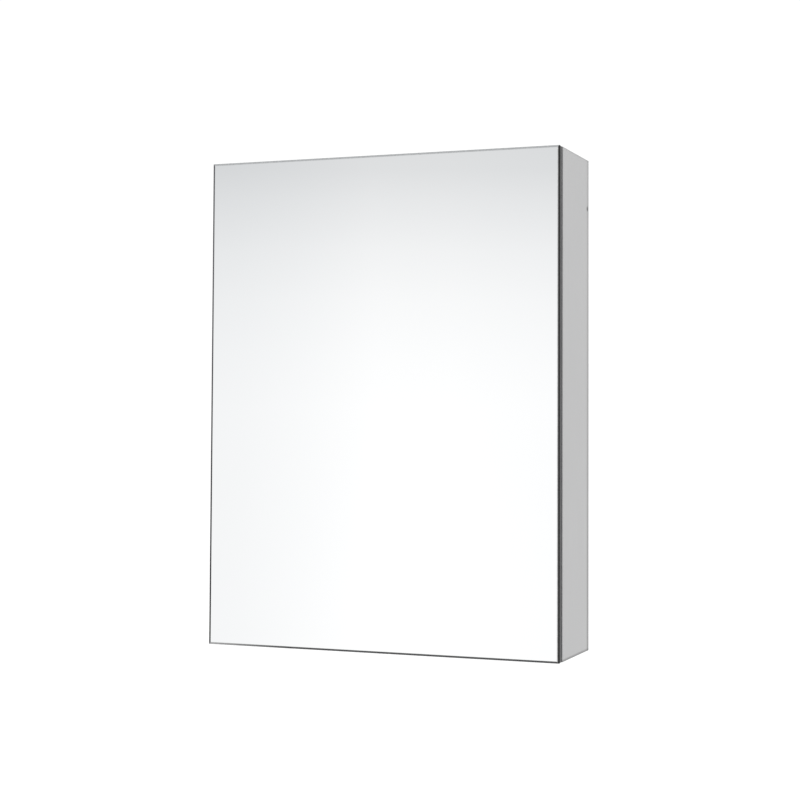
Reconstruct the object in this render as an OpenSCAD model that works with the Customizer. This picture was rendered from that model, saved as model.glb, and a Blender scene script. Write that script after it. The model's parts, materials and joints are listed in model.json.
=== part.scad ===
// Surface-mounted medicine cabinet with a full-overlay mirror door.
// An aluminium box of four mitred profiles carries glass shelves, and a thin
// framed door with a frameless mirror face swings on a continuous hinge.
//
// Frame: origin at the centre of the wall fixings, on the wall plane.
// +X to the right seen from the front, +Y into the wall, +Z up.

/* [Cabinet] */
// Overall width, which is also the mirror's width
cabinet_w = 450; // [400:10:600]
// Overall height, which is also the mirror's height
cabinet_h = 600; // [600:10:760]
// Overall depth from the wall to the mirror's face
cabinet_d = 138; // [130:1:165]
// Wall thickness of the body profiles
skin_t = 1.8; // [1.4:0.1:2.2]
// Width of the flange around the front opening
flange_w = 16; // [16:0.5:20]
// Radius of the long rear edges
rear_r = 6; // [3:0.5:8]

/* [Door] */
// Thickness of the mirror glass
mirror_t = 4; // [3:0.5:5]
// Width of the polished bevel around the mirror's face
bevel_w = 2.4; // [0.5:0.1:3]
// Depth of that bevel
bevel_d = 0.8; // [0.3:0.1:1]
// Inset of the door frame behind the mirror's edge, on its three free sides
door_reveal = 0.3; // [0.2:0.1:1]
// Inset of the door frame on the hinge side, which leaves room for the knuckles
hinge_recess = 7; // [6.5:0.5:9]
// Depth of the door frame behind the mirror
door_frame_d = 7; // [7:0.1:9]
// Gap between the closed door frame and the body
door_gap = 2; // [2:0.1:2.6]
// Thickness of the mirror on the inside of the door
inner_mirror_t = 3; // [2:0.5:3]

/* [Hinge] */
// Outer diameter of the knuckles
knuckle_d = 5; // [4.6:0.1:5]
// Diameter of the hinge pin
pin_d = 2.4; // [2:0.1:2.6]
// Number of knuckles, an odd number
knuckle_count = 29; // [21:2:29]
// Thickness of a hinge leaf
leaf_t = 0.75; // [0.6:0.05:0.8]

/* [Shelves] */
// Thickness of a glass shelf
shelf_t = 5; // [4:1:6]
// Distance between the pin holes up the shelf standards
pin_pitch = 32; // [25:1:32]
// Pin hole, counted up from the middle one, that carries each shelf
shelf_steps = [-5, -1, 4]; // [-6:1:6]

/* [Hidden] */
fine = 48;
round_part = 32;
// How far a cut runs past the face that it opens
past = 1;
// Clearance on the radius of a pressed or bonded fit, and of a rivet in its hole
press_play = 0.03;
rivet_play = 0.05;

// Depth stations, measured in Y from the wall plane
mirror_face_y = -cabinet_d;
mirror_back_y = mirror_face_y + mirror_t;
tape_t = 1;
frame_front_y = mirror_back_y + tape_t;
frame_back_y = frame_front_y + door_frame_d;
body_front_y = frame_back_y + door_gap;
body_d = -body_front_y;
half_w = cabinet_w / 2;
half_h = cabinet_h / 2;

// Body profile
return_lip_d = 9;
panel_lip_w = 11;
panel_t = 1;
groove_play = 0.1;
lie_gap = 0.05;
mitre_reach = 60;
panel_back_y = -skin_t - groove_play;
panel_front_y = panel_back_y - panel_t;
panel_lip_t = 1.6;
panel_lip_y = panel_front_y - groove_play;
panel_inset = rear_r + 0.2;

// Corner keys in the channel behind the front flange
key_play = 0.2;
key_leg = 52;
key_w = flange_w - 2 * skin_t - 2 * key_play;
key_d = return_lip_d - skin_t - key_play;
key_screw_r = 2;
key_screw_head_r = 3.6;
key_screw_head_h = 2.2;
key_screw_end = 12;
key_screw_socket_r = 1.5;
key_front_y = body_front_y + skin_t + lie_gap;

// Wall fixings: one hole in each corner of the back
fixing_x = half_w - 37;
fixing_z = half_h - 50;
fixing_r = 3.5;
bracket_h = 44;
bracket_t = 2;
bracket_reach = 52;
bracket_side_d = 28;
bracket_corner = 1.5;
side_rivet_r = 3;
side_rivet_shank_r = 0.6 * side_rivet_r;
side_rivet_y = panel_lip_y - 8;
side_rivet_z = fixing_z - 10;
side_rivet_tail_h = 1;
stack_rivet_r = 1.5;
stack_rivet_head_r = 3;
stack_rivet_head_h = 0.9;
stack_rivet_spacing = 26;
spacer_w = 30;
spacer_h = 40;
plate_w = 34;
plate_t = 1.6;
plate_front_y = panel_front_y - lie_gap - plate_t;
bracket_back_y = panel_lip_y - panel_lip_t - groove_play;
bracket_front_y = bracket_back_y - bracket_t;

// Magnetic push latch on the free edge
latch_x = half_w - flange_w / 2;
latch_z = -56;
latch_r = 5.6;
latch_rim_r = 6.6;
latch_rim_t = 0.6;
latch_l = 30;
latch_wall = 1.1;
plunger_head_r = 4.2;
plunger_stem_r = 2;
plunger_head_l = 12;
plunger_play = 0.08;
plunger_tail = 0.6;
spring_r = 3.4;
spring_wire_r = 0.35;
spring_turns = 6;
spring_segments = 14;
spring_sides = 8;
magnet_r = 3.1;
magnet_t = 4;
strike_r = 6.5;
strike_t = 0.6;
strike_y = frame_back_y + strike_t;
plunger_tip_y = strike_y + 0.02;
strike_screw_head_r = 2.1;

// Shelf standards on the inner faces of the sides
standard_w = 14;
standard_d = 5;
standard_t = 1.2;
pin_holes = 13;
standard_end = 28;
standard_l = (pin_holes - 1) * pin_pitch + 2 * standard_end;
standard_ys = [body_front_y + latch_l + 9, panel_lip_y - panel_lip_t - 19];
pin_r = 2.5;
pin_hole_r = 2.55;
pin_in = 3.6;
collar_r = 4.6;
collar_t = 1;
stub_r = 3;
stub_l = 9;
stub_end_gap = 0.1;
sleeve_r = 4;
sleeve_cap_t = 0.6;
standard_screw_r = 1.6;
standard_screw_head_r = 3;
standard_screw_head_h = 0.9;

// Shelves
shelf_w = cabinet_w - 2 * (skin_t + standard_d + collar_t) - 2.4;
shelf_front_y = body_front_y + return_lip_d + 7;
shelf_back_y = panel_lip_y - panel_lip_t - 7;
shelf_bevel = 0.8;

// Door frame profile
frame_w = cabinet_w - hinge_recess - door_reveal;
frame_h = cabinet_h - 2 * door_reveal;
frame_x = (hinge_recess - door_reveal) / 2;
tube_w = 17;
tube_t = 1.3;
tongue_w = 8;
tongue_t = 1.3;
tongue_back = inner_mirror_t + 0.3;
door_key_play = 0.2;
door_key_leg = 42;
seal_w = 0.6;
tape_w = 12;
tape_inset = 2.5;

// Hinge
axis_inset = 3.4;
knuckle_clear = 0.3;
axis_x = -half_w + axis_inset;
axis_y = body_front_y - knuckle_clear - knuckle_d / 2;
pin_play = 0.05;
knuckle_pitch = 20;
knuckle_gap = 0.4;
hinge_l = knuckle_count * knuckle_pitch;
notch_clear = 0.5;
leaf_notch = knuckle_d / 2 + notch_clear;
body_leaf_w = 12;
body_leaf_screw_edge = 3.4;
door_leaf_w = 18.4;
door_leaf_screw_edge = 5;
leaf_screw_r = 1.5;
leaf_screw_head_r = 2.6;
leaf_screw_l = 5;
leaf_screw_count = 10;
leaf_screw_pitch = 60;

// Bumpers on the free edge
bumper_r = 4;
bumper_h = door_gap - 0.3;
bumper_zs = [-half_h + 40, half_h - 40];

// Colours
body_colour = [0.77, 0.77, 0.78];
inner_colour = [0.86, 0.87, 0.88];
dark_colour = [0.2, 0.2, 0.21];
mirror_colour = [0.93, 0.95, 0.96];
glass_colour = [0.78, 0.9, 0.87];
steel_colour = [0.66, 0.67, 0.69];
plunger_colour = [0.85, 0.85, 0.83];
magnet_colour = [0.7, 0.7, 0.7];
clear_colour = [0.9, 0.93, 0.94];
tape_colour = [0.3, 0.3, 0.3];
seal_colour = [0.1, 0.1, 0.1];
core_colour = [0.95, 0.95, 0.93];

// ---------- general shapes ----------

// A box from one corner to the other.
module box(a, b) {
    translate(a) cube(b - a);
}

// A round bar along Y, from y0 to y1.
module bar_y(x, z, r, y0, y1, fn = fine) {
    translate([x, y0, z]) rotate([-90, 0, 0]) cylinder(r = r, h = y1 - y0, $fn = fn);
}

// A round bar along X, from x0 to x1.
module bar_x(y, z, r, x0, x1, fn = round_part) {
    translate([x0, y, z]) rotate([0, 90, 0]) cylinder(r = r, h = x1 - x0, $fn = fn);
}

// A flat plate facing Y, with a bevel of width c and depth d around its front face,
// and around its back face too where both_faces is true.
module bevelled_plate(w, h, y0, y1, c, d, both_faces = false) {
    back_c = both_faces ? c : 0;
    back_d = both_faces ? d : 0;
    function outline(half) = [
        [-half + c, y0], [half - c, y0], [half, y0 + d], [half, y1 - back_d],
        [half - back_c, y1], [-half + back_c, y1], [-half, y1 - back_d], [-half, y0 + d]
    ];
    intersection() {
        translate([0, 0, -h / 2]) linear_extrude(h) polygon(outline(w / 2));
        rotate([0, 90, 0]) mirror([1, 0, 0])
            translate([0, 0, -w / 2]) linear_extrude(w)
                polygon([for (p = outline(h / 2)) [p[0], p[1]]]);
    }
}

// A countersunk screw or rivet along Y whose flat head lies at y and faces dir (-1 front, 1 back).
module flat_screw(x, z, y, r, head_r, length, dir = -1) {
    cone_h = head_r - r;
    recess_span = 1.1 * head_r;
    recess_w = 0.36 * r;
    difference() {
        translate([x, y, z]) rotate([dir * 90, 0, 0]) union() {
            cylinder(r1 = head_r, r2 = r, h = cone_h, $fn = round_part);
            cylinder(r = r, h = length, $fn = round_part);
        }
        // cross recess
        for (turn = [0, 90])
            translate([x, y, z]) rotate([0, turn, 0])
                cube([recess_span, cone_h, recess_w], center = true);
    }
}

// The seat of such a screw, cut a little larger.
module screw_seat(x, z, y, r, head_r, length, dir = -1) {
    play = 0.06;
    translate([x, y + dir * 0.01, z]) rotate([dir * 90, 0, 0]) union() {
        cylinder(r1 = head_r + play, r2 = r + play, h = head_r - r, $fn = round_part);
        cylinder(r = r + play, h = length + past, $fn = round_part);
    }
}

// ---------- body profiles ----------

// Section of a body profile: X is the distance in from the outer face, Y the depth station.
module body_section() {
    difference() {
        rounded_rear(0, rear_r);
        rounded_rear(skin_t, rear_r - skin_t);
    }
    // lip that returns behind the front flange
    translate([flange_w - skin_t, body_front_y]) square([skin_t, return_lip_d]);
    // lip that holds the back panel against the rear flange
    translate([skin_t / 2, panel_lip_y - panel_lip_t]) square([panel_lip_w - skin_t / 2, panel_lip_t]);
}

// A rectangle inset by the wall, open towards the inside, with its rear outer corner rounded.
module rounded_rear(inset, r) {
    far = inset > 0 ? flange_w + past : flange_w;
    union() {
        translate([inset, body_front_y + inset]) square([far - inset, body_d - 2 * inset - r]);
        translate([inset + r, -inset - r - 0.01]) square([far - inset - r, r + 0.01]);
        translate([inset + r, -inset - r]) circle(r = r, $fn = fine);
    }
}

// One profile of the box, cut to 45 degrees at both ends: length along Z, outer face at X = 0.
module mitred_profile(length) {
    half = length / 2;
    intersection() {
        translate([0, 0, -half]) linear_extrude(length) children();
        rotate([90, 0, 0]) translate([0, 0, -past]) linear_extrude(cabinet_d + 2 * past)
            polygon([[0, -half], [0, half],
                     [mitre_reach, half - mitre_reach], [mitre_reach, mitre_reach - half]]);
    }
}

// The four places that a profile can take, seen from the front.
module at_left(half) { translate([-half, 0, 0]) children(); }
module at_right(half) { mirror([1, 0, 0]) at_left(half) children(); }
module at_bottom(half) { rotate([0, -90, 0]) translate([-half, 0, 0]) children(); }
module at_top(half) { mirror([0, 0, 1]) at_bottom(half) children(); }

module left_side() {
    color(body_colour) difference() {
        at_left(half_w) mitred_profile(cabinet_h) body_section();
        leaf_screw_seats(body_leaf_screw_x, body_front_y - leaf_t);
        side_rivet_hole(-1);
        standard_screw_holes(-1);
    }
}

module right_side() {
    color(body_colour) difference() {
        at_right(half_w) mitred_profile(cabinet_h) body_section();
        bar_y(latch_x, latch_z, latch_r, body_front_y - past, body_front_y + skin_t + past);
        side_rivet_hole(1);
        standard_screw_holes(1);
    }
}

module top_panel() {
    color(body_colour) at_top(half_h) mitred_profile(cabinet_w) body_section();
}

module bottom_panel() {
    color(body_colour) at_bottom(half_h) mitred_profile(cabinet_w) body_section();
}

module back_panel() {
    color(inner_colour) difference() {
        box([-half_w + panel_inset, panel_front_y, -half_h + panel_inset],
            [half_w - panel_inset, panel_back_y, half_h - panel_inset]);
        for (x = [-fixing_x, fixing_x], z = [-fixing_z, fixing_z])
            fixing_holes(x, z, panel_front_y - past, panel_back_y + past);
    }
}

// ---------- corner keys ----------

// An L-shaped key for the bottom left corner.
module corner_key() {
    inset = skin_t + key_play;
    corner = [-half_w + inset, key_front_y, -half_h + inset];
    union() {
        box(corner, [corner.x + key_w, key_front_y + key_d, -half_h + key_leg]);
        box(corner, [-half_w + key_leg, key_front_y + key_d, corner.z + key_w]);
    }
}

// Places of the two screws of the bottom left key.
key_screw_at = [
    [-half_w + skin_t + key_play + key_w / 2, -half_h + key_leg - key_screw_end],
    [-half_w + key_leg - key_screw_end, -half_h + skin_t + key_play + key_w / 2]
];

module in_four_corners() {
    for (mx = [0, 1], mz = [0, 1]) mirror([mx, 0, 0]) mirror([0, 0, mz]) children();
}

module corner_keys() {
    color(steel_colour) difference() {
        in_four_corners() difference() {
            corner_key();
            for (p = key_screw_at)
                bar_y(p[0], p[1], key_screw_r + 0.1, body_front_y, body_front_y + return_lip_d + 2);
        }
        leaf_screw_seats(body_leaf_screw_x, body_front_y - leaf_t);
    }
}

module corner_key_screws() {
    head_y = key_front_y + key_d;
    color(steel_colour) in_four_corners() for (p = key_screw_at) difference() {
        union() {
            bar_y(p[0], p[1], key_screw_r, key_front_y + lie_gap, head_y + 0.5, round_part);
            bar_y(p[0], p[1], key_screw_head_r, head_y, head_y + key_screw_head_h, round_part);
        }
        bar_y(p[0], p[1], key_screw_socket_r, head_y + 0.8, head_y + 5, 6);
    }
}

// ---------- wall fixings ----------

// The screw hole and the two rivet holes of one fixing.
module fixing_holes(x, z, y0, y1) {
    bar_y(x, z, fixing_r, y0, y1);
    for (side = [-1, 1])
        bar_y(x, z + side * stack_rivet_spacing / 2, stack_rivet_r + 0.1, y0, y1, round_part);
}

module side_rivet_hole(side) {
    play = rivet_play;
    bar_x(side_rivet_y, side_rivet_z, side_rivet_shank_r + play, side * half_w - 5, side * half_w + 5);
    translate([side * (half_w + 0.01), side_rivet_y, side_rivet_z]) rotate([0, -side * 90, 0])
        cylinder(r1 = side_rivet_r + play, r2 = side_rivet_shank_r + play,
                 h = side_rivet_r - side_rivet_shank_r, $fn = round_part);
}

// Folded bracket that ties the back panel to the side at each upper fixing.
module hanger_bracket() {
    inset = skin_t + 0.1;
    face = bracket_back_y;
    translate([-half_w, 0, fixing_z - bracket_h / 2]) difference() {
        linear_extrude(bracket_h) polygon([
            [inset, face - bracket_side_d], [inset + bracket_t, face - bracket_side_d],
            [inset + bracket_t, face - bracket_t], [bracket_reach, face - bracket_t],
            [bracket_reach, panel_front_y - lie_gap], [panel_lip_w + 0.3, panel_front_y - lie_gap],
            [panel_lip_w + 0.3, face], [inset + bracket_corner, face], [inset, face - bracket_corner]
        ]);
        translate([half_w, 0, bracket_h / 2 - fixing_z]) {
            fixing_holes(-fixing_x, fixing_z, -bracket_side_d, 0);
            bar_x(side_rivet_y, side_rivet_z, side_rivet_shank_r + rivet_play, -half_w, -half_w + 8);
        }
    }
}

module hanger_bracket_left() { color(steel_colour) hanger_bracket(); }
module hanger_bracket_right() { color(steel_colour) mirror([1, 0, 0]) hanger_bracket(); }

// Flush rivets that hold the brackets to the sides. Their heads show near the rear edge.
module hanger_rivets() {
    grip = skin_t + bracket_t + 0.15;
    color(dark_colour) for (mx = [0, 1]) mirror([mx, 0, 0])
        translate([-half_w, side_rivet_y, side_rivet_z]) rotate([0, 90, 0]) union() {
            cylinder(r1 = side_rivet_r, r2 = side_rivet_shank_r, h = side_rivet_r - side_rivet_shank_r,
                     $fn = round_part);
            cylinder(r = side_rivet_shank_r, h = grip + side_rivet_tail_h, $fn = round_part);
            translate([0, 0, grip])
                cylinder(r = side_rivet_r, h = side_rivet_tail_h, $fn = round_part);
        }
}

// Flat plates under the screw heads at the lower fixings.
module lower_fixing_plates() {
    color(steel_colour) for (x = [-fixing_x, fixing_x]) difference() {
        box([x - plate_w / 2, plate_front_y, -fixing_z - spacer_h / 2],
            [x + plate_w / 2, panel_front_y - lie_gap, -fixing_z + spacer_h / 2]);
        fixing_holes(x, -fixing_z, plate_front_y - past, panel_front_y + past);
    }
}

// Spacers between the back panel and the wall, level with the rear flanges.
module wall_spacers() {
    color(dark_colour) for (x = [-fixing_x, fixing_x], z = [-fixing_z, fixing_z]) difference() {
        box([x - spacer_w / 2, panel_back_y + lie_gap, z - spacer_h / 2],
            [x + spacer_w / 2, 0, z + spacer_h / 2]);
        fixing_holes(x, z, panel_back_y - past, past);
    }
}

// Two blind rivets through the stack at each fixing.
module fixing_rivets() {
    upper_y = bracket_front_y;
    color(steel_colour) for (x = [-fixing_x, fixing_x], up = [-1, 1], side = [-1, 1]) {
        z = up * fixing_z + side * stack_rivet_spacing / 2;
        head_y = up > 0 ? upper_y : plate_front_y;
        bar_y(x, z, stack_rivet_r, head_y - 0.5, -0.2, round_part);
        bar_y(x, z, stack_rivet_head_r, head_y - stack_rivet_head_h, head_y, round_part);
    }
}

// ---------- shelf standards and shelves ----------

function pin_z(step) = step * pin_pitch;

// Places of the screws up a standard, each halfway between two pin holes.
standard_screw_zs = [for (k = [-1, 0, 1]) (k * pin_holes + (k == 0 ? 1 : 0)) * pin_pitch / 2];

module standard_screw_holes(side) {
    for (y = standard_ys, z = standard_screw_zs)
        bar_x(y, z, standard_screw_r + rivet_play, side * half_w - (side > 0 ? skin_t + past : -skin_t / 3),
              side * half_w + (side > 0 ? -skin_t / 3 : skin_t + past));
}

// A channel strip for the left side with a row of pin holes up its web.
module shelf_standard(y) {
    inner_x = -half_w + skin_t;
    difference() {
        box([inner_x, y - standard_w / 2, -standard_l / 2],
            [inner_x + standard_d, y + standard_w / 2, standard_l / 2]);
        box([inner_x - past, y - standard_w / 2 + standard_t, -standard_l / 2 - past],
            [inner_x + standard_d - standard_t, y + standard_w / 2 - standard_t, standard_l / 2 + past]);
        for (i = [-(pin_holes - 1) / 2 : (pin_holes - 1) / 2])
            bar_x(y, pin_z(i), pin_hole_r, inner_x, inner_x + standard_d + past);
        for (z = standard_screw_zs)
            bar_x(y, z, standard_screw_r + rivet_play, inner_x, inner_x + standard_d + past);
    }
}

module left_front_standard() { color(inner_colour) shelf_standard(standard_ys[0]); }
module left_rear_standard() { color(inner_colour) shelf_standard(standard_ys[1]); }
module right_front_standard() { color(inner_colour) mirror([1, 0, 0]) shelf_standard(standard_ys[0]); }
module right_rear_standard() { color(inner_colour) mirror([1, 0, 0]) shelf_standard(standard_ys[1]); }

module standard_screws() {
    color(steel_colour) for (mx = [0, 1], y = standard_ys, z = standard_screw_zs)
        mirror([mx, 0, 0]) translate([-half_w + skin_t + standard_d, y, z]) difference() {
            union() {
                rotate([0, 90, 0])
                    cylinder(r = standard_screw_head_r, h = standard_screw_head_h, $fn = round_part);
                translate([-standard_d - 1, 0, 0]) rotate([0, 90, 0])
                    cylinder(r = standard_screw_r, h = standard_d + 1.5, $fn = round_part);
            }
            for (turn = [0, 90]) translate([standard_screw_head_h, 0, 0]) rotate([turn, 0, 0])
                cube([1, standard_screw_head_r * 1.2, 0.6], center = true);
        }
}

module glass_shelf(step) {
    z = pin_z(step) + sleeve_r + shelf_t / 2;
    depth = shelf_back_y - shelf_front_y;
    color(glass_colour) translate([0, (shelf_front_y + shelf_back_y) / 2, z]) rotate([90, 0, 0])
        bevelled_plate(shelf_w, depth, -shelf_t / 2, shelf_t / 2, shelf_bevel, shelf_bevel, true);
}

module lower_shelf() { glass_shelf(shelf_steps[0]); }
module middle_shelf() { glass_shelf(shelf_steps[1]); }
module upper_shelf() { glass_shelf(shelf_steps[2]); }

// Does something at every pin, with X = 0 on the web of the left standards and X running inwards.
module at_pins() {
    for (mx = [0, 1], y = standard_ys, step = shelf_steps)
        mirror([mx, 0, 0]) translate([-half_w + skin_t + standard_d, y, pin_z(step)])
            rotate([0, 90, 0]) children();
}

module shelf_pins() {
    color(steel_colour) at_pins() union() {
        translate([0, 0, -pin_in]) cylinder(r = pin_r, h = pin_in + 0.1, $fn = round_part);
        cylinder(r = collar_r, h = collar_t, $fn = round_part);
        translate([0, 0, collar_t - 0.1]) cylinder(r = stub_r, h = stub_l, $fn = round_part);
    }
}

module pin_sleeves() {
    color(clear_colour) at_pins() translate([0, 0, collar_t + 0.1]) difference() {
        cylinder(r = sleeve_r, h = stub_l + sleeve_cap_t, $fn = round_part);
        translate([0, 0, -past])
            cylinder(r = stub_r + press_play, h = stub_l + past - stub_end_gap, $fn = round_part);
    }
}

// ---------- continuous hinge ----------

function knuckle_z(i) = -hinge_l / 2 + i * knuckle_pitch;

// Every second knuckle as a tube on the axis, starting with the first or the second.
module knuckles(first) {
    for (i = [first : 2 : knuckle_count - 1])
        translate([axis_x, axis_y, knuckle_z(i) + knuckle_gap / 2])
            cylinder(r = knuckle_d / 2, h = knuckle_pitch - knuckle_gap, $fn = fine);
}

module pin_bore() {
    translate([axis_x, axis_y, -hinge_l / 2 - past])
        cylinder(r = pin_d / 2 + pin_play, h = hinge_l + 2 * past, $fn = fine);
}

// A leaf from y0 to y1 and from the axis to x1, notched where the other leaf has its knuckles.
module leaf(y0, y1, x1, first) {
    other = 1 - first;
    difference() {
        union() {
            box([axis_x, y0, -hinge_l / 2], [x1, y1, hinge_l / 2]);
            knuckles(first);
        }
        for (i = [other : 2 : knuckle_count - 1])
            box([axis_x - knuckle_d, y0 - 5, knuckle_z(i) - knuckle_gap / 2],
                [axis_x + leaf_notch, y1 + 5, knuckle_z(i) + knuckle_pitch + knuckle_gap / 2]);
        pin_bore();
    }
}

leaf_screw_zs = [for (i = [0 : leaf_screw_count - 1]) (i - (leaf_screw_count - 1) / 2) * leaf_screw_pitch];

// Screw seats down a column at x, for heads that lie at y.
module leaf_screw_seats(x, y, dir = -1) {
    for (z = leaf_screw_zs) screw_seat(x, z, y, leaf_screw_r, leaf_screw_head_r, leaf_screw_l, dir);
}

module leaf_screws(x, y, dir = -1) {
    for (z = leaf_screw_zs) flat_screw(x, z, y, leaf_screw_r, leaf_screw_head_r, leaf_screw_l, dir);
}

body_leaf_screw_x = axis_x + body_leaf_w - body_leaf_screw_edge;
door_leaf_screw_x = axis_x + door_leaf_w - door_leaf_screw_edge;
door_leaf_back_y = frame_back_y + leaf_t;

module hinge_body_leaf() {
    color(steel_colour) difference() {
        leaf(body_front_y - leaf_t, body_front_y, axis_x + body_leaf_w, 0);
        leaf_screw_seats(body_leaf_screw_x, body_front_y - leaf_t);
    }
}

module body_leaf_screws() {
    color(steel_colour) leaf_screws(body_leaf_screw_x, body_front_y - leaf_t);
}

module hinge_door_leaf() {
    color(steel_colour) difference() {
        leaf(frame_back_y, door_leaf_back_y, axis_x + door_leaf_w, 1);
        leaf_screw_seats(door_leaf_screw_x, door_leaf_back_y, 1);
    }
}

module door_leaf_screws() {
    color(steel_colour) leaf_screws(door_leaf_screw_x, door_leaf_back_y, 1);
}

module hinge_pin() {
    end_gap = 0.2;
    color(steel_colour) translate([axis_x, axis_y, -hinge_l / 2 + end_gap])
        cylinder(r = pin_d / 2, h = hinge_l - 2 * end_gap, $fn = fine);
}

// ---------- push latch and bumpers ----------

latch_back_y = body_front_y + latch_l;
plunger_head_y = plunger_tip_y + plunger_head_l;
bore_back_y = latch_back_y - latch_wall;

// Tube pressed into the flange, with a collar that the plunger's stem runs through.
module latch_body() {
    color(dark_colour) difference() {
        union() {
            bar_y(latch_x, latch_z, latch_r - press_play, body_front_y - 0.1, latch_back_y);
            bar_y(latch_x, latch_z, latch_rim_r, body_front_y - latch_rim_t, body_front_y);
        }
        bar_y(latch_x, latch_z, plunger_head_r + plunger_play, body_front_y - past, bore_back_y);
        bar_y(latch_x, latch_z, plunger_stem_r + plunger_play, bore_back_y - past, latch_back_y + past);
    }
}

// Plunger with a magnet in its tip. A press of the closed door moves it inwards and frees the door.
module latch_plunger() {
    color(plunger_colour) difference() {
        union() {
            bar_y(latch_x, latch_z, plunger_head_r, plunger_tip_y, plunger_head_y);
            bar_y(latch_x, latch_z, plunger_stem_r, plunger_head_y - 1, bore_back_y + plunger_tail);
        }
        bar_y(latch_x, latch_z, magnet_r + press_play, plunger_tip_y - past, plunger_tip_y + magnet_t);
    }
}

module latch_magnet() {
    color(magnet_colour)
        bar_y(latch_x, latch_z, magnet_r, plunger_tip_y + 0.05, plunger_tip_y + magnet_t - 0.02);
}

// Point on the spring's centre line, k segments from its front end.
function spring_point(k, from_y, to_y) = [
    latch_x + spring_r * cos(360 * k / spring_segments),
    from_y + (to_y - from_y) * k / (spring_turns * spring_segments),
    latch_z + spring_r * sin(360 * k / spring_segments)
];

// Return spring around the stem: a round wire swept along a helix.
module latch_spring() {
    from_y = plunger_head_y + spring_wire_r + 0.05;
    to_y = bore_back_y - spring_wire_r - 0.05;
    last = spring_turns * spring_segments;
    points = [
        for (k = [0 : last], side = [0 : spring_sides - 1])
            let (centre = spring_point(k, from_y, to_y),
                 turn = 360 * k / spring_segments,
                 around = 360 * side / spring_sides,
                 out = spring_wire_r * cos(around))
            [centre.x + out * cos(turn), centre.y + spring_wire_r * sin(around), centre.z + out * sin(turn)]
    ];
    faces = [
        for (k = [0 : last - 1], side = [0 : spring_sides - 1])
            let (a = k * spring_sides + side,
                 b = k * spring_sides + (side + 1) % spring_sides)
            [a, b, b + spring_sides, a + spring_sides],
        [for (side = [spring_sides - 1 : -1 : 0]) side],
        [for (side = [0 : spring_sides - 1]) last * spring_sides + side]
    ];
    color(steel_colour) polyhedron(points = points, faces = faces);
}

module strike_plate() {
    color(steel_colour) difference() {
        bar_y(latch_x, latch_z, strike_r, frame_back_y, strike_y);
        strike_screw_seat();
    }
}

module strike_screw_seat() {
    screw_seat(latch_x, latch_z, strike_y, leaf_screw_r, strike_screw_head_r, leaf_screw_l, 1);
}

module strike_screw() {
    color(steel_colour)
        flat_screw(latch_x, latch_z, strike_y, leaf_screw_r, strike_screw_head_r, leaf_screw_l, 1);
}

// A self-adhesive button on the front flange, coned towards its tip.
module button(x, z, r) {
    translate([x, body_front_y, z]) rotate([90, 0, 0]) union() {
        cylinder(r = r, h = bumper_h / 2, $fn = fine);
        translate([0, 0, bumper_h / 2]) cylinder(r1 = r, r2 = 0.7 * r, h = bumper_h / 2, $fn = fine);
    }
}

// Clear buttons that the door frame closes on.
module door_bumpers() {
    color(clear_colour) for (z = bumper_zs) button(latch_x, z, bumper_r);
}

// ---------- door ----------

module front_mirror() {
    color(mirror_colour)
        bevelled_plate(cabinet_w, cabinet_h, mirror_face_y, mirror_back_y, bevel_w, bevel_d);
}

// Foam tape between the mirror and the frame, one strip on each bar.
module mirror_tape() {
    half_x = frame_w / 2 - tape_inset;
    half_z = frame_h / 2 - tape_inset;
    color(tape_colour) translate([frame_x, 0, 0]) {
        for (s = [0, 1]) mirror([s, 0, 0])
            box([-half_x, mirror_back_y, -half_z], [-half_x + tape_w, frame_front_y, half_z]);
        for (s = [0, 1]) mirror([0, 0, s])
            box([-half_x + tape_w + 1, mirror_back_y, -half_z],
                [half_x - tape_w - 1, frame_front_y, -half_z + tape_w]);
    }
}

// Section of a door frame bar: a flat tube with a tongue that carries the inner mirror.
module frame_section() {
    translate([0, frame_front_y]) {
        difference() {
            square([tube_w, door_frame_d]);
            translate([tube_t, tube_t]) square([tube_w - 2 * tube_t, door_frame_d - 2 * tube_t]);
        }
        translate([tube_w - tube_t / 2, door_frame_d - tongue_back - tongue_t])
            square([tongue_w + tube_t / 2, tongue_t]);
    }
}

module door_left_stile() {
    color(dark_colour) difference() {
        translate([frame_x, 0, 0]) at_left(frame_w / 2) mitred_profile(frame_h) frame_section();
        leaf_screw_seats(door_leaf_screw_x, door_leaf_back_y, 1);
    }
}

module door_right_stile() {
    color(dark_colour) difference() {
        translate([frame_x, 0, 0]) at_right(frame_w / 2) mitred_profile(frame_h) frame_section();
        strike_screw_seat();
    }
}

module door_top_rail() {
    color(dark_colour) translate([frame_x, 0, 0])
        at_top(frame_h / 2) mitred_profile(frame_w) frame_section();
}

module door_bottom_rail() {
    color(dark_colour) translate([frame_x, 0, 0])
        at_bottom(frame_h / 2) mitred_profile(frame_w) frame_section();
}

// Keys inside the tubes at the four mitres.
module door_corner_keys() {
    inset = tube_t + door_key_play;
    w = tube_w - 2 * inset;
    y0 = frame_front_y + inset;
    y1 = frame_back_y - inset;
    x0 = -frame_w / 2;
    z0 = -frame_h / 2;
    color(steel_colour) difference() {
        translate([frame_x, 0, 0]) in_four_corners() union() {
            box([x0 + inset, y0, z0 + inset], [x0 + inset + w, y1, z0 + door_key_leg]);
            box([x0 + inset, y0, z0 + inset], [x0 + door_key_leg, y1, z0 + inset + w]);
        }
        leaf_screw_seats(door_leaf_screw_x, door_leaf_back_y, 1);
    }
}

// Rigid foam between the two mirrors.
module door_core() {
    margin = tube_w + tongue_w + 0.5;
    color(core_colour) translate([frame_x, 0, 0])
        box([-frame_w / 2 + margin, mirror_back_y + 0.1, -frame_h / 2 + margin],
            [frame_w / 2 - margin, frame_back_y - tongue_back - 0.1, frame_h / 2 - margin]);
}

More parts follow.
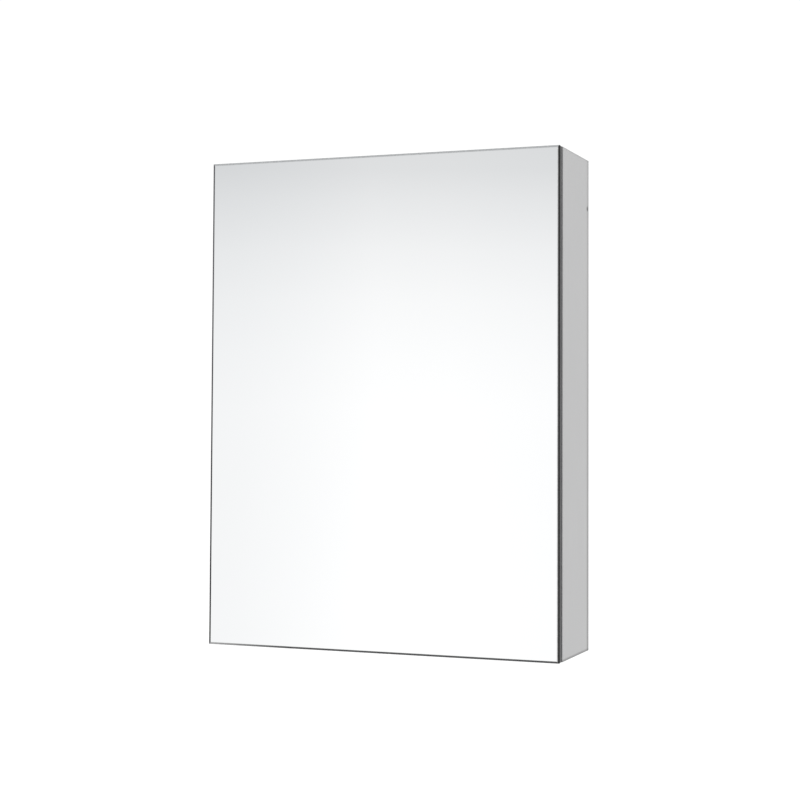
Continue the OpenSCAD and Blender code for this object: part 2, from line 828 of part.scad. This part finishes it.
module inner_mirror() {
    margin = tube_w + seal_w;
    color(mirror_colour) translate([frame_x, 0, 0])
        box([-frame_w / 2 + margin, frame_back_y - tongue_back, -frame_h / 2 + margin],
            [frame_w / 2 - margin, frame_back_y - tongue_back + inner_mirror_t, frame_h / 2 - margin]);
}

// Bead of sealant that fills the joint around the inner mirror.
module inner_mirror_seal() {
    y0 = frame_back_y - tongue_back;
    margin = tube_w + 0.02;
    color(seal_colour) translate([frame_x, 0, 0]) difference() {
        box([-frame_w / 2 + margin, y0, -frame_h / 2 + margin],
            [frame_w / 2 - margin, y0 + inner_mirror_t - 0.2, frame_h / 2 - margin]);
        box([-frame_w / 2 + tube_w + seal_w, y0 - past, -frame_h / 2 + tube_w + seal_w],
            [frame_w / 2 - tube_w - seal_w, y0 + inner_mirror_t + past, frame_h / 2 - tube_w - seal_w]);
    }
}

left_side();
right_side();
top_panel();
bottom_panel();
back_panel();
corner_keys();
corner_key_screws();
hanger_bracket_left();
hanger_bracket_right();
hanger_rivets();
lower_fixing_plates();
wall_spacers();
fixing_rivets();
left_front_standard();
left_rear_standard();
right_front_standard();
right_rear_standard();
standard_screws();
lower_shelf();
middle_shelf();
upper_shelf();
shelf_pins();
pin_sleeves();
hinge_body_leaf();
hinge_pin();
body_leaf_screws();
latch_body();
latch_plunger();
latch_magnet();
latch_spring();
door_bumpers();
front_mirror();
mirror_tape();
door_left_stile();
door_right_stile();
door_top_rail();
door_bottom_rail();
door_corner_keys();
door_core();
inner_mirror();
inner_mirror_seal();
hinge_door_leaf();
door_leaf_screws();
strike_plate();
strike_screw();
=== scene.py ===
"""Medicine cabinet with a mirror door: materials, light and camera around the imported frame.

Lengths are in metres, in the frame's own axes: +X right, +Y into the wall, +Z up.
"""

import json
import math

import bpy
from mathutils import Matrix, Vector


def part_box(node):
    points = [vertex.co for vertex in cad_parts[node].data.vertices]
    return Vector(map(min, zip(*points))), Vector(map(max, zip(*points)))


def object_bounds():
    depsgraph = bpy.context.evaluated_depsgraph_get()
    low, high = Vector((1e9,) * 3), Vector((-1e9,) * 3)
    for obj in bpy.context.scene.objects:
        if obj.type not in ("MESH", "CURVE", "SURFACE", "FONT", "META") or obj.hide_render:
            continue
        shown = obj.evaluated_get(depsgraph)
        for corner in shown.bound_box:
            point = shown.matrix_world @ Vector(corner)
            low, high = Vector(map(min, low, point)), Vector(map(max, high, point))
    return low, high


MM = 0.001

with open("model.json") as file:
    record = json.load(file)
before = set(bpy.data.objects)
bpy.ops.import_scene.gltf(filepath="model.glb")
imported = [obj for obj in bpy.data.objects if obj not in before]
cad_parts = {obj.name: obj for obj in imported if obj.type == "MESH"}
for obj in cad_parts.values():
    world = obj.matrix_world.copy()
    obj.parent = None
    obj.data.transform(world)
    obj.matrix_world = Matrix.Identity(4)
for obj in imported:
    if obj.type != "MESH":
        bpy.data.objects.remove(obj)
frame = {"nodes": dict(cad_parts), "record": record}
cad_low, cad_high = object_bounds()
nodes = frame["nodes"]


# ---------- colours ----------

def grey(tone, tint=0.0):
    """A grey, cooler where tint is above 0."""
    return (tone * (1 - tint), tone, tone * (1 + tint))


def shade(colour, factor):
    return tuple(min(1.0, c * factor) for c in colour)


ALUMINIUM = (0.5, 0.5, 0.503)
BLACK_ANODISED = (0.035, 0.035, 0.037)
DRAWN_ALUMINIUM = (0.72, 0.72, 0.73)
STAINLESS = (0.56, 0.56, 0.565)
ZINC = (0.62, 0.63, 0.655)
CHROME = (0.8, 0.8, 0.81)
NICKEL = (0.66, 0.64, 0.6)
BLACKENED_STEEL = (0.05, 0.05, 0.052)
WHITE_PAINT = (0.8, 0.8, 0.79)
BLACK_MOULDING = (0.022, 0.022, 0.024)
WHITE_ACETAL = (0.84, 0.84, 0.82)
VINYL = (0.9, 0.92, 0.92)
BLACK_RUBBER = (0.02, 0.02, 0.021)
BLACK_FOAM = (0.03, 0.03, 0.031)
WHITE_FOAM = (0.82, 0.82, 0.78)
GLASS_FACE = (0.95, 0.985, 0.97)
GLASS_EDGE = (0.3, 0.62, 0.5)
SILVER = (0.945, 0.949, 0.951)
MIRROR_BACK_PAINT = (0.16, 0.17, 0.18)


# ---------- node helpers ----------

# The Mix node keeps its float, vector and colour sockets in one list. These are the colour ones.
MIX_FACTOR, MIX_A, MIX_B, MIX_RESULT = 0, 6, 7, 2

# A noise hardly ever leaves these values.
NOISE_LOW, NOISE_HIGH = 0.3, 0.7


class Graph:
    """A node tree, with short calls that add a node and return its output.

    A noise's or a cell pattern's scale is in features per metre.
    """

    def __init__(self, tree, coordinates):
        self.tree = tree
        self.coordinates = coordinates
        self._coords = None

    def add(self, kind, **settings):
        node = self.tree.nodes.new("ShaderNode" + kind)
        for key, value in settings.items():
            setattr(node, key, value)
        return node

    def put(self, socket, value):
        """Links value to a socket if it is an output, or else sets it there."""
        if isinstance(value, bpy.types.NodeSocket):
            self.tree.links.new(value, socket)
        else:
            socket.default_value = value

    def coords(self, stretch=(1, 1, 1)):
        """The tree's coordinates, scaled on each axis."""
        if self._coords is None:
            self._coords = self.add("TexCoord").outputs[self.coordinates]
        if tuple(stretch) == (1, 1, 1):
            return self._coords
        mapping = self.add("Mapping")
        mapping.inputs["Scale"].default_value = stretch
        self.put(mapping.inputs["Vector"], self._coords)
        return mapping.outputs["Vector"]

    def axis(self, name):
        """One component of the coordinates."""
        node = self.add("SeparateXYZ")
        self.put(node.inputs[0], self.coords())
        return node.outputs[name]

    def noise(self, scale, detail=2.0, rough=0.5, stretch=(1, 1, 1)):
        node = self.add("TexNoise")
        self.put(node.inputs["Vector"], self.coords(stretch))
        node.inputs["Scale"].default_value = scale
        node.inputs["Detail"].default_value = detail
        node.inputs["Roughness"].default_value = rough
        return node.outputs["Fac"]

    def cells(self, scale, output="Distance", feature="F1"):
        node = self.add("TexVoronoi", feature=feature)
        self.put(node.inputs["Vector"], self.coords())
        node.inputs["Scale"].default_value = scale
        return node.outputs[output]

    def span(self, value, low, high, new_low=0.0, new_high=1.0, curve="LINEAR"):
        """Maps low..high onto new_low..new_high, and holds the ends."""
        node = self.add("MapRange", clamp=True, interpolation_type=curve)
        self.put(node.inputs["Value"], value)
        node.inputs["From Min"].default_value = low
        node.inputs["From Max"].default_value = high
        node.inputs["To Min"].default_value = new_low
        node.inputs["To Max"].default_value = new_high
        return node.outputs["Result"]

    def vary(self, noise, low=0.0, high=1.0):
        """Spreads a noise over low..high."""
        return self.span(noise, NOISE_LOW, NOISE_HIGH, low, high)

    def math(self, operation, a, b=0.0):
        node = self.add("Math", operation=operation)
        self.put(node.inputs[0], a)
        self.put(node.inputs[1], b)
        return node.outputs[0]

    def blend(self, a, share, b):
        """The weighted mean of two values, where share is a's weight."""
        return self.math("ADD", self.math("MULTIPLY", a, share), self.math("MULTIPLY", b, 1 - share))

    def mix(self, factor, a, b):
        """A colour between a and b."""
        node = self.add("Mix", data_type="RGBA")
        self.put(node.inputs[MIX_FACTOR], factor)
        for socket, colour in ((MIX_A, a), (MIX_B, b)):
            linked = isinstance(colour, bpy.types.NodeSocket)
            self.put(node.inputs[socket], colour if linked else (*colour, 1))
        return node.outputs[MIX_RESULT]

    def multiply(self, a, b):
        """The product of two colours."""
        node = self.add("Mix", data_type="RGBA", blend_type="MULTIPLY")
        node.inputs[MIX_FACTOR].default_value = 1.0
        self.put(node.inputs[MIX_A], a)
        self.put(node.inputs[MIX_B], b)
        return node.outputs[MIX_RESULT]

    def ramp(self, value, stops):
        """Steps through colours given as (place, colour). The first two stops are the ends."""
        low, high = stops[0][0], stops[1][0]
        node = self.add("ValToRGB")
        self.put(node.inputs[0], self.span(value, low, high))
        elements = node.color_ramp.elements
        for index, (place, colour) in enumerate(stops):
            position = (place - low) / (high - low)
            stop = elements[index] if index < 2 else elements.new(position)
            stop.position = position
            stop.color = (*colour, 1)
        return node.outputs["Color"]


class Surface(Graph):
    """A material's tree, with one Principled BSDF. Its coordinates are in metres."""

    def __init__(self, name, **sockets):
        self.material = bpy.data.materials.new(name)
        self.material.use_nodes = True
        super().__init__(self.material.node_tree, "Object")
        self.shader = self.tree.nodes["Principled BSDF"]
        for socket, value in sockets.items():
            self.shader.inputs[socket.replace("_", " ")].default_value = value

    def to_shader(self, name, value):
        self.put(self.shader.inputs[name], value)

    def bump(self, height, depth, strength=1.0, below=None):
        """Bump of the given depth in metres, on top of another bump where below is given."""
        node = self.add("Bump")
        self.put(node.inputs["Height"], height)
        node.inputs["Strength"].default_value = strength
        node.inputs["Distance"].default_value = depth
        if below is not None:
            self.put(node.inputs["Normal"], below)
        self.to_shader("Normal", node.outputs["Normal"])
        return node.outputs["Normal"]


def lines_along(axis, across=1.0, along=0.004):
    """A stretch that draws a noise out into lines along one axis."""
    return tuple(along if name == axis else across for name in "XYZ")


# ---------- metals ----------

# Where a panel's painted shade darkens it at the ends of its run and by the door: how far in its tone
# starts to rise, how far in it is 1, and the least tone.
LOW_END = (1.2 * MM, 3.4 * MM, 0.5)
HIGH_END = (0.8 * MM, 2.2 * MM, 0.85)
BY_THE_DOOR = (0.0, 5.0 * MM, 0.7)

# The painted shade along the rear bend: its middle in Y, the half width that is fully dark, and the
# half width of the fade.
BEND_Y = -7.0 * MM
BEND_CORE, BEND_FADE = 3.0 * MM, 9.0 * MM
# How much it darkens at the low end of the panel's run and at the high end.
BEND_LOW, BEND_HIGH = 0.45, 0.2


def painted_edge_shade(t, box, run):
    """A panel's tone with painted shade: under 1 along the rear bend, at the two ends of its run, and
    as the door's painted shadow by the door.
    """
    low, high = box
    along, depth = t.axis(run), t.axis("Y")
    first, last = low["XYZ".index(run)], high["XYZ".index(run)]
    from_bend = t.math("ABSOLUTE", t.math("SUBTRACT", depth, BEND_Y))
    at_bend = t.span(from_bend, BEND_CORE, BEND_FADE, 1.0, 0.0)
    bend_shade = t.math("MULTIPLY", at_bend, t.span(along, first, last, BEND_LOW, BEND_HIGH))
    tone = t.math("SUBTRACT", 1.0, bend_shade)
    distances = (
        (t.math("SUBTRACT", along, first), LOW_END),
        (t.math("SUBTRACT", last, along), HIGH_END),
        (t.math("SUBTRACT", depth, low.y), BY_THE_DOOR),
    )
    for distance, (start, stop, least) in distances:
        tone = t.math("MULTIPLY", tone, t.span(distance, start, stop, least, 1.0))
    return tone


def painted_overhang_shadow(t, box):
    """Painted shadow of the mirror's overhang: a tone that falls towards the front, where the mirror
    overhangs the frame, and rises above 1 towards the rear.
    """
    low, high = box
    front_tone, rear_tone = 0.3, 2.4
    return t.span(t.axis("Y"), low.y, high.y, front_tone, rear_tone)


def drawn_metal(name, colour, roughness, run, metallic=1.0, specular=0.5, spread=0.05, painted_shade_of=None):
    """Anodised or plated metal with fine lines along the way it was drawn.

    The last argument makes a factor of painted shade for the colour from the tree, where one is given.
    """
    t = Surface(name, Metallic=metallic, Specular_IOR_Level=specular)
    line_depth = 0.004 * MM
    lines = t.noise(scale=2600, detail=3, stretch=lines_along(run))
    cloud = t.noise(scale=9, detail=4, rough=0.6)
    grain = t.noise(scale=5200, detail=2)
    tone = t.span(t.blend(lines, 0.6, cloud), 0.32, 0.68)
    base = t.mix(tone, shade(colour, 1 - spread), shade(colour, 1 + spread))
    if painted_shade_of is not None:
        base = t.multiply(base, painted_shade_of(t))
    t.to_shader("Base Color", base)
    wear = t.blend(cloud, 0.55, grain)
    t.to_shader("Roughness", t.vary(wear, roughness - 0.05, roughness + 0.06))
    first = t.bump(lines, line_depth)
    t.bump(grain, 0.6 * line_depth, below=first)
    return t.material


def zinc_plate(name, colour=ZINC, roughness=0.3):
    """Bright zinc with faint spangle and handling marks."""
    t = Surface(name, Metallic=1.0)
    spangle = t.add("RGBToBW")
    t.put(spangle.inputs[0], t.cells(scale=420, output="Color"))
    cloud = t.noise(scale=60, detail=5, rough=0.65)
    t.to_shader("Base Color", t.mix(t.vary(cloud), shade(colour, 0.86), shade(colour, 1.06)))
    t.to_shader("Roughness", t.span(spangle.outputs[0], 0.0, 1.0, roughness - 0.06, roughness + 0.12))
    t.bump(t.noise(scale=1500, detail=3), 0.006 * MM)
    return t.material


def polished_metal(name, colour, roughness=0.07):
    """Chrome or nickel plate: smooth, with hairline scratches in its gloss."""
    t = Surface(name, Metallic=1.0)
    haze = t.noise(scale=260, detail=4, rough=0.7)
    hair = t.noise(scale=2200, detail=2, stretch=lines_along("Y", along=0.05))
    t.to_shader("Base Color", t.mix(t.vary(haze), shade(colour, 0.95), shade(colour, 1.03)))
    t.to_shader("Roughness", t.span(hair, 0.4, 0.75, roughness, roughness + 0.1))
    t.bump(hair, 0.0015 * MM)
    return t.material


def powder_coat(name, colour, roughness=0.42):
    """Sprayed paint with a fine orange peel."""
    t = Surface(name)
    peel = t.noise(scale=900, detail=3, rough=0.45)
    cloud = t.noise(scale=6, detail=5, rough=0.6)
    t.to_shader("Base Color", t.mix(t.vary(cloud), shade(colour, 0.965), shade(colour, 1.02)))
    t.to_shader("Roughness", t.vary(peel, roughness - 0.05, roughness + 0.07))
    t.bump(peel, 0.03 * MM)
    return t.material


# ---------- plastics, rubber and foam ----------

def moulded(name, colour, roughness, grain_size=0.25 * MM, grain_depth=0.02 * MM, spread=0.12):
    """Moulded plastic or rubber with a fine grain. It serves blackened steel too."""
    t = Surface(name)
    grain = t.noise(scale=1 / grain_size, detail=2, rough=0.5)
    dust = t.span(t.noise(scale=45, detail=6, rough=0.7), 0.35, 0.75)
    dusty = shade(colour, 1 + 2 * spread)
    t.to_shader("Base Color", t.mix(dust, shade(colour, 1 - spread), dusty))
    t.to_shader("Roughness", t.vary(grain, roughness - 0.06, roughness + 0.08))
    t.bump(grain, grain_depth)
    return t.material


def foam(name, colour, cell, roughness=0.85):
    """Closed-cell foam: rounded cells with dark joints between them."""
    t = Surface(name)
    joint = t.span(t.cells(scale=1 / cell, feature="DISTANCE_TO_EDGE"), 0.0, 0.12)
    t.to_shader("Base Color", t.mix(joint, shade(colour, 0.72), colour))
    t.to_shader("Roughness", t.vary(t.noise(scale=300), roughness - 0.08, roughness + 0.08))
    t.bump(joint, 0.15 * cell)
    return t.material


def clear_vinyl(name, colour=VINYL):
    """Clear soft vinyl, slightly milky."""
    t = Surface(name, Transmission_Weight=0.75, IOR=1.45)
    cloud = t.noise(scale=500, detail=3)
    t.to_shader("Base Color", t.mix(cloud, shade(colour, 0.94), colour))
    t.to_shader("Roughness", t.vary(cloud, 0.12, 0.26))
    t.bump(cloud, 0.01 * MM)
    return t.material


# ---------- glass ----------

def rim_distance(t, low, high, axes):
    """Distance in from the nearest of a box's faces on the given axes."""
    nearest = None
    for name in axes:
        index = "XYZ".index(name)
        half = (high[index] - low[index]) / 2
        middle = (high[index] + low[index]) / 2
        inside = t.math("SUBTRACT", half, t.math("ABSOLUTE", t.math("SUBTRACT", t.axis(name), middle)))
        nearest = inside if nearest is None else t.math("MINIMUM", nearest, inside)
    return nearest


def shelf_glass(name, node):
    """Clear float glass whose polished edges look green."""
    low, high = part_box(node)
    t = Surface(name, Transmission_Weight=1.0, IOR=1.5)
    rim = t.span(rim_distance(t, low, high, "XY"), 0.2 * MM, 2.2 * MM)
    t.to_shader("Base Color", t.mix(rim, GLASS_EDGE, GLASS_FACE))
    smear = t.noise(scale=26, detail=5, rough=0.7)
    t.to_shader("Roughness", t.span(smear, 0.45, 0.75, 0.0, 0.035))
    t.bump(t.noise(scale=14), 0.01 * MM)
    return t.material


FRONT_BEVEL = 2.4 * MM
INNER_BEVEL = 0.2 * MM

# Painted reflection tones of a mirror's rim. The left one pales upwards, and the bottom one pales to
# the left.
LEFT_LOW, LEFT_HIGH = grey(0.004), (0.1, 0.1, 0.105)
BOTTOM_LEFT, BOTTOM = grey(0.36), (0.085, 0.086, 0.087)
BOTTOM_FADE = 100 * MM
TOP = (0.42, 0.43, 0.435)
# The right one's painted reflection pales inwards, from the glass's edge to the inner side of the
# bevel.
RIGHT = [(0.0, grey(0.008)), (FRONT_BEVEL, grey(0.85)), (0.9 * MM, grey(0.04)), (1.6 * MM, grey(0.28))]


def painted_rim_reflection(t, low, high):
    """Painted reflection on a polished rim, set by position: dark where it looks aside or down, and
    paler where it looks up.
    """
    across = t.math("SUBTRACT", t.axis("X"), (high.x + low.x) / 2)
    up = t.math("SUBTRACT", t.axis("Z"), (high.z + low.z) / 2)
    from_side = t.math("SUBTRACT", (high.x - low.x) / 2, t.math("ABSOLUTE", across))
    from_end = t.math("SUBTRACT", (high.z - low.z) / 2, t.math("ABSOLUTE", up))
    on_end = t.math("LESS_THAN", from_end, from_side)
    on_right = t.math("GREATER_THAN", across, 0.0)
    on_top = t.math("GREATER_THAN", up, 0.0)
    left = t.mix(t.span(up, low.z, 0.5 * high.z), LEFT_LOW, LEFT_HIGH)
    bottom = t.mix(t.span(across, low.x, low.x + BOTTOM_FADE), BOTTOM_LEFT, BOTTOM)
    side = t.mix(on_right, left, t.ramp(from_side, RIGHT))
    return t.mix(on_end, side, t.mix(on_top, bottom, TOP))


def silvered_glass(name, node, bevel, face_at_low_y=True):
    """Mirror glass: silver seen through the face, a ground and polished rim, and grey paint behind."""
    low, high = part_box(node)
    t = Surface(name, IOR=1.5, Specular_IOR_Level=0.01)
    face_y, back_y = (low.y, high.y) if face_at_low_y else (high.y, low.y)
    face_skin, back_skin = 0.02 * MM, 0.05 * MM
    from_back = t.math("ABSOLUTE", t.math("SUBTRACT", t.axis("Y"), back_y))
    is_face = t.math("GREATER_THAN", from_back, abs(face_y - back_y) - face_skin)
    is_back = t.math("LESS_THAN", from_back, back_skin)

    streaks = t.vary(t.noise(scale=900, detail=2, stretch=lines_along("Y", along=0.1)))
    # The rim's colour carries the painted reflection tones.
    rim_colour = t.multiply(t.mix(streaks, grey(0.85), grey(1.15)), painted_rim_reflection(t, low, high))
    clear_of_rim = t.span(rim_distance(t, low, high, "XZ"), bevel, bevel + 0.8 * MM)
    face_colour = t.mix(clear_of_rim, shade(SILVER, 0.9), SILVER)
    colour = t.mix(is_face, rim_colour, face_colour)
    t.to_shader("Base Color", t.mix(is_back, colour, MIRROR_BACK_PAINT))
    t.to_shader("Metallic", is_face)

    rim_rough, more_behind = 0.22, 0.4
    smear = t.span(t.noise(scale=7, detail=6, rough=0.62), 0.5, 0.8, 0.0, 0.018)
    speck = t.math("MULTIPLY", t.span(t.noise(scale=420, detail=1), 0.78, 0.83), 0.04)
    on_face = t.math("MULTIPLY", is_face, t.math("ADD", smear, speck))
    off_face = t.math("MULTIPLY", t.math("SUBTRACT", 1.0, is_face), rim_rough)
    behind = t.math("MULTIPLY", is_back, more_behind)
    t.to_shader("Roughness", t.math("ADD", t.math("ADD", on_face, off_face), behind))
    t.bump(t.noise(scale=3.2, detail=1), 0.02 * MM, strength=0.6)
    return t.material


# ---------- a material for each node ----------

made = {}


def once(key, build):
    """Builds a material the first time that it is asked for."""
    if key not in made:
        made[key] = build()
    return made[key]


PLAIN = {
    "standard_aluminium": lambda: drawn_metal("drawn_aluminium", DRAWN_ALUMINIUM, 0.34, "Z"),
    "hinge_steel": lambda: drawn_metal("satin_stainless", STAINLESS, 0.28, "Z", spread=0.08),
    "back_paint": lambda: powder_coat("white_powder_coat", WHITE_PAINT),
    "zinc_steel": lambda: zinc_plate("bright_zinc"),
    "dark_steel": lambda: moulded("blackened_steel", BLACKENED_STEEL, 0.4, 0.4 * MM, 0.008 * MM),
    "black_plastic": lambda: moulded("black_moulding", BLACK_MOULDING, 0.5),
    "white_plastic": lambda: moulded("white_acetal", WHITE_ACETAL, 0.38, spread=0.03),
    "pin_chrome": lambda: polished_metal("chrome_plate", CHROME),
    "magnet_nickel": lambda: polished_metal("nickel_plate", NICKEL, 0.16),
    "clear_vinyl": lambda: clear_vinyl("clear_vinyl"),
    "black_rubber": lambda: moulded("black_rubber", BLACK_RUBBER, 0.7, 0.5 * MM, 0.015 * MM),
    "black_foam": lambda: foam("black_foam_tape", BLACK_FOAM, 0.35 * MM),
    "white_foam": lambda: foam("white_foam_board", WHITE_FOAM, 2.5 * MM),
}


def finish_for(node, slot):
    """The material of a CAD node, from its slot and from the way it runs."""
    level = node.startswith(("top", "bottom")) or "_top_" in node or "_bottom_" in node
    run = "X" if level else "Z"
    if slot == "body_aluminium":
        return once(slot + run, lambda: drawn_metal(
            "satin_aluminium_" + run, ALUMINIUM, 0.4, run, metallic=0.75,
            painted_shade_of=lambda t: painted_edge_shade(t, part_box(node), run)))
    if slot == "door_aluminium":
        return once(slot + run, lambda: drawn_metal(
            "black_anodised_" + run, BLACK_ANODISED, 0.42, run, metallic=0.2, specular=0.25,
            spread=0.15, painted_shade_of=lambda t: painted_overhang_shadow(t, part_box(node))))
    if node == "front_mirror":
        return once(node, lambda: silvered_glass("front_mirror_glass", node, FRONT_BEVEL))
    if node == "inner_mirror":
        return once(node, lambda: silvered_glass(
            "inner_mirror_glass", node, INNER_BEVEL, face_at_low_y=False))
    if slot == "shelf_glass":
        return once(node, lambda: shelf_glass(node + "_glass", node))
    return once(slot, PLAIN[slot])


slot_of = {row["node"]: row["material_slot"] for row in frame["record"]["subparts"]}
for node, piece in nodes.items():
    piece.data.materials.clear()
    piece.data.materials.append(finish_for(node, slot_of[node]))
    for face in piece.data.polygons:
        face.material_index = 0


# ---------- eased edges ----------

def ease(node, width):
    """Rounds a node's sharp edges a little, as a deburred or polished edge is."""
    bevel = nodes[node].modifiers.new("eased_edges", "BEVEL")
    bevel.width = width
    bevel.segments = 2
    bevel.limit_method = "ANGLE"
    bevel.angle_limit = math.radians(35)
    bevel.harden_normals = True


PANELS = ("left_side", "right_side", "top_panel", "bottom_panel")
RAILS = ("door_left_stile", "door_right_stile", "door_top_rail", "door_bottom_rail")
for node in PANELS + RAILS:
    ease(node, 0.15 * MM)


# ---------- stage, light and camera ----------

def floor(height, size):
    """A plain pale floor, bright enough to melt into the backdrop."""
    bpy.ops.mesh.primitive_plane_add(size=size, location=(0, 0, height))
    plane = bpy.context.object
    plane.name = "floor"
    t = Surface("pale_floor", Base_Color=(0.85, 0.85, 0.85, 1), Roughness=0.9,
                Emission_Color=(1, 1, 1, 1), Emission_Strength=0.33, Specular_IOR_Level=0.0)
    plane.data.materials.append(t.material)
    plane.visible_glossy = False


# The far end of the room, as (direction, tone), where direction is one component of a unit vector.
# The first two rows of each list are its ends.
ROOM_BY_HEIGHT = [
    (-0.1, grey(1.08)),
    (0.3, grey(0.7, 0.008)),
    (0.01, grey(1.065)),
    (0.04, grey(1.04, 0.002)),
    (0.072, grey(1.0, 0.003)),
    (0.101, grey(0.94, 0.005)),
    (0.13, grey(0.85, 0.008)),
    (0.147, grey(0.785, 0.01)),
    (0.18, grey(0.74, 0.01)),
]
ROOM_BY_BREADTH = [
    (-0.8, grey(0.85)),
    (0.4, grey(0.95)),
    (-0.47, grey(0.895, 0.006)),
    (-0.44, grey(0.915, 0.006)),
    (-0.41, grey(0.948, 0.004)),
    (-0.37, grey(1.0)),
    (-0.33, grey(1.0)),
    (-0.27, grey(0.975, 0.003)),
]


def studio_world():
    """A white room, whose end in front of the mirror greys with height and towards the left."""
    world = bpy.data.worlds.new("studio")
    bpy.context.scene.world = world
    world.use_nodes = True
    g = Graph(world.node_tree, "Generated")
    # The two halves of the room blend where the direction's Y is within this of 0.
    blend = 0.3
    in_front = g.span(g.axis("Y"), blend, -blend, curve="SMOOTHSTEP")
    far_end = g.multiply(g.ramp(g.axis("Z"), ROOM_BY_HEIGHT), g.ramp(g.axis("X"), ROOM_BY_BREADTH))
    room = g.mix(in_front, grey(1.05), far_end)
    background = g.tree.nodes["Background"]
    g.put(background.inputs["Color"], room)
    background.inputs["Strength"].default_value = 1.0


def soft_light(name, place, target, size, power):
    """A square soft box that the mirror doesn't show."""
    data = bpy.data.lights.new(name, "AREA")
    data.shape = "SQUARE"
    data.size = size
    data.energy = power
    light = bpy.data.objects.new(name, data)
    light.location = place
    light.rotation_euler = (Vector(target) - Vector(place)).to_track_quat("-Z", "Y").to_euler()
    light.visible_glossy = False
    bpy.context.scene.collection.objects.link(light)


def camera(place, yaw, pitch, roll, focal_mm, shift, sensor_mm=36):
    """A camera turned yaw degrees left of +Y, then pitch degrees up, then roll degrees."""
    data = bpy.data.cameras.new("camera")
    data.sensor_width = sensor_mm
    data.lens = focal_mm
    data.shift_x, data.shift_y = shift
    data.clip_end = 100
    cam = bpy.data.objects.new("camera", data)
    turn = Matrix.Rotation(math.radians(yaw), 4, "Z")
    tilt = Matrix.Rotation(math.radians(90 + pitch), 4, "X")
    bank = Matrix.Rotation(math.radians(roll), 4, "Z")
    cam.matrix_world = Matrix.Translation(place) @ (turn @ tilt @ bank)
    bpy.context.scene.collection.objects.link(cam)
    bpy.context.scene.camera = cam


bpy.context.scene.view_settings.view_transform = "Standard"

# The camera stands this many cabinet widths from the middle of the front face.
CAMERA_RIGHT, CAMERA_BACK, CAMERA_DOWN = 1.7101, 4.3037, 0.0611
width = cad_high[0] - cad_low[0]
front_y = cad_low[1]
camera(place=(CAMERA_RIGHT * width, front_y - CAMERA_BACK * width, -CAMERA_DOWN * width),
       yaw=21.489, pitch=2.4325, roll=0.303, focal_mm=77.878, shift=(0.02, -0.06))

# The cabinet hangs on a wall, so the floor lies well below it.
FLOOR_DROP = 0.9
floor(height=cad_low[2] - FLOOR_DROP, size=40)
studio_world()
soft_light("key", place=(-1.6, -1.9, 2.2), target=(0, 0, 0), size=2.4, power=30)
